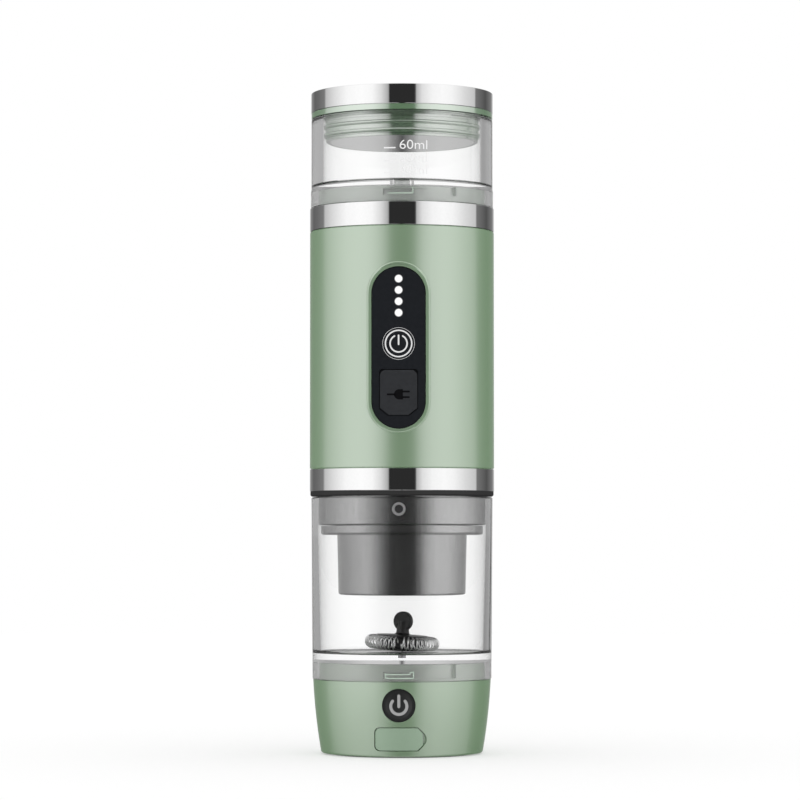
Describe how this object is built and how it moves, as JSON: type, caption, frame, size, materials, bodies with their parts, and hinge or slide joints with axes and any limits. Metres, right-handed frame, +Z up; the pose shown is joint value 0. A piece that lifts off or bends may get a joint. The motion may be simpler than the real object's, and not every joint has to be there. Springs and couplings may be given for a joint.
{
  "type": "portable capsule coffee machine",
  "caption": "Slim upright battery capsule coffee machine: sage green body, chrome rings, clear tank and cup, milk whisk base.",
  "frame": {"origin": "centre of the foot, on the surface that it stands on", "axes": "+Z up along the machine's axis, -Y towards the control panel, +X to the right seen from the front"},
  "size_m": [0.0708, 0.0708, 0.2534],
  "materials": {
    "sage_shell": "sage green moulded plastic, silky satin",
    "sage_rubber": "sage green silicone",
    "chrome_trim": "bright chrome plating",
    "clear_plastic": "clear, glossy, see-through plastic",
    "lid_tint": "pale green translucent plastic",
    "seal_tint": "pale green silicone",
    "gunmetal": "dark grey lacquer with a metal sheen",
    "panel_black": "fine matt black",
    "cover_grey": "dark grey rubber",
    "black_rubber": "black rubber",
    "black_plastic": "black moulded plastic",
    "light_lens": "milk white lens",
    "steel": "stainless steel",
    "spring_wire": "bright stainless wire",
    "cell_wrap": "shrink-wrapped cell, as dense as aluminium",
    "board_green": "glass fibre circuit board",
    "inner_grey": "light grey moulded plastic",
    "heater_alloy": "cast alloy",
    "hose_silicone": "white silicone hose",
    "copper_magnet": "nickel-plated magnet"
  },
  "bodies": {
    "base": {"base_housing": "sage_shell", "base_cover": "sage_shell", "foot_ring": "black_rubber", "base_screws": "steel", "base_button_switch": "black_plastic", "base_pcb": "board_green", "base_usb_socket": "steel", "base_battery": "cell_wrap", "base_motor": "steel", "motor_bracket": "inner_grey"},
    "base_button": {"base_button_cap": "black_plastic"},
    "base_plug": {"base_port_plug": "sage_rubber"},
    "rotor": {"magnet_rotor": "inner_grey", "rotor_magnets": "copper_magnet"},
    "cup": {"cup": "clear_plastic", "cup_spindle": "steel"},
    "whisk": {"whisk_hub": "black_plastic", "whisk_spring": "spring_wire", "whisk_magnets": "copper_magnet"},
    "machine": {"cup_gasket": "black_rubber", "lower_trim_ring": "chrome_trim", "housing": "sage_shell", "upper_trim_ring": "chrome_trim", "tank_dock": "sage_shell", "dock_seal": "seal_tint", "control_panel": "panel_black", "led_lenses": "light_lens", "usb_socket": "steel", "control_pcb": "board_green", "button_switch": "black_plastic", "battery_cells": "cell_wrap", "battery_frame": "inner_grey", "pump_motor": "steel", "pump_head": "black_plastic", "water_heater": "heater_alloy", "inlet_hose": "hose_silicone", "pressure_hose": "hose_silicone", "brew_hose": "hose_silicone", "chassis": "inner_grey", "chassis_screws": "steel", "brew_collar": "gunmetal", "vent_eyelet": "steel", "thread_insert": "steel", "brew_head": "black_plastic", "shower_plate": "steel", "head_gasket": "black_rubber"},
    "power_button": {"power_button": "panel_black"},
    "port_cover": {"port_cover": "cover_grey"},
    "pump_rotor": {"pump_shaft": "steel"},
    "basket": {"capsule_basket": "steel", "outlet_pins": "steel"},
    "capsule_holder": {"holder_shell": "gunmetal", "holder_thread": "gunmetal"},
    "tank": {"water_tank": "clear_plastic", "tank_valve": "seal_tint"},
    "lid": {"lid_cap": "chrome_trim", "lid_plug": "lid_tint", "lid_seal": "seal_tint", "lid_liner": "chrome_trim"}
  },
  "joints": [
    {"name": "base_button_press", "type": "slide", "parent": "base", "child": "base_button", "axis": [0, 1, 0], "range_m": [0, 0.0008], "stiffness_N_per_m": 1500},
    {"name": "base_plug_swing", "type": "hinge", "parent": "base", "child": "base_plug", "pos_m": [-0.0083, -0.03023, 0.0071], "axis": [0, 0.1419, -0.9899], "range_deg": [0, 60]},
    {"name": "rotor_spin", "type": "hinge", "parent": "base", "child": "rotor", "pos_m": [0, 0, 0.03], "axis": [0, 0, 1], "continuous": true},
    {"name": "cup_lock", "type": "hinge", "parent": "base", "child": "cup", "pos_m": [0, 0, 0.033], "axis": [0, 0, 1], "range_deg": [0, 30]},
    {"name": "whisk_spin", "type": "hinge", "parent": "cup", "child": "whisk", "pos_m": [0, 0, 0.041], "axis": [0.0523, 0, 0.9986], "continuous": true},
    {"name": "body_lift", "type": "slide", "parent": "cup", "child": "machine", "axis": [0, 0, 1], "range_m": [0, 0.06]},
    {"name": "power_press", "type": "slide", "parent": "machine", "child": "power_button", "axis": [0, 1, 0], "range_m": [0, 0.0008], "stiffness_N_per_m": 1500},
    {"name": "port_cover_swing", "type": "hinge", "parent": "machine", "child": "port_cover", "pos_m": [0, -0.0342, 0.1448], "axis": [-1, 0, 0], "range_deg": [0, 100]},
    {"name": "pump_spin", "type": "hinge", "parent": "machine", "child": "pump_rotor", "pos_m": [-0.006, -0.009, 0.165], "axis": [0, 0, 1], "continuous": true},
    {"name": "holder_drop", "type": "slide", "parent": "machine", "child": "basket", "axis": [0, 0, -1], "range_m": [0, 0.01]},
    {"name": "holder_turn", "type": "hinge", "parent": "basket", "child": "capsule_holder", "pos_m": [0, 0, 0.085], "axis": [0, 0, -1], "range_deg": [0, 360]},
    {"name": "tank_lock", "type": "hinge", "parent": "machine", "child": "tank", "pos_m": [0, 0, 0.2125], "axis": [0, 0, 1], "range_deg": [0, 30]},
    {"name": "lid_lift", "type": "slide", "parent": "tank", "child": "lid", "axis": [0, 0, 1], "range_m": [0, 0.045]}
  ],
  "couplings": [
    {"joint": "rotor_spin", "follows": "whisk_spin", "ratio": 1},
    {"joint": "holder_drop", "follows": "holder_turn", "m_per_rad": 0.0015915}
  ]
}
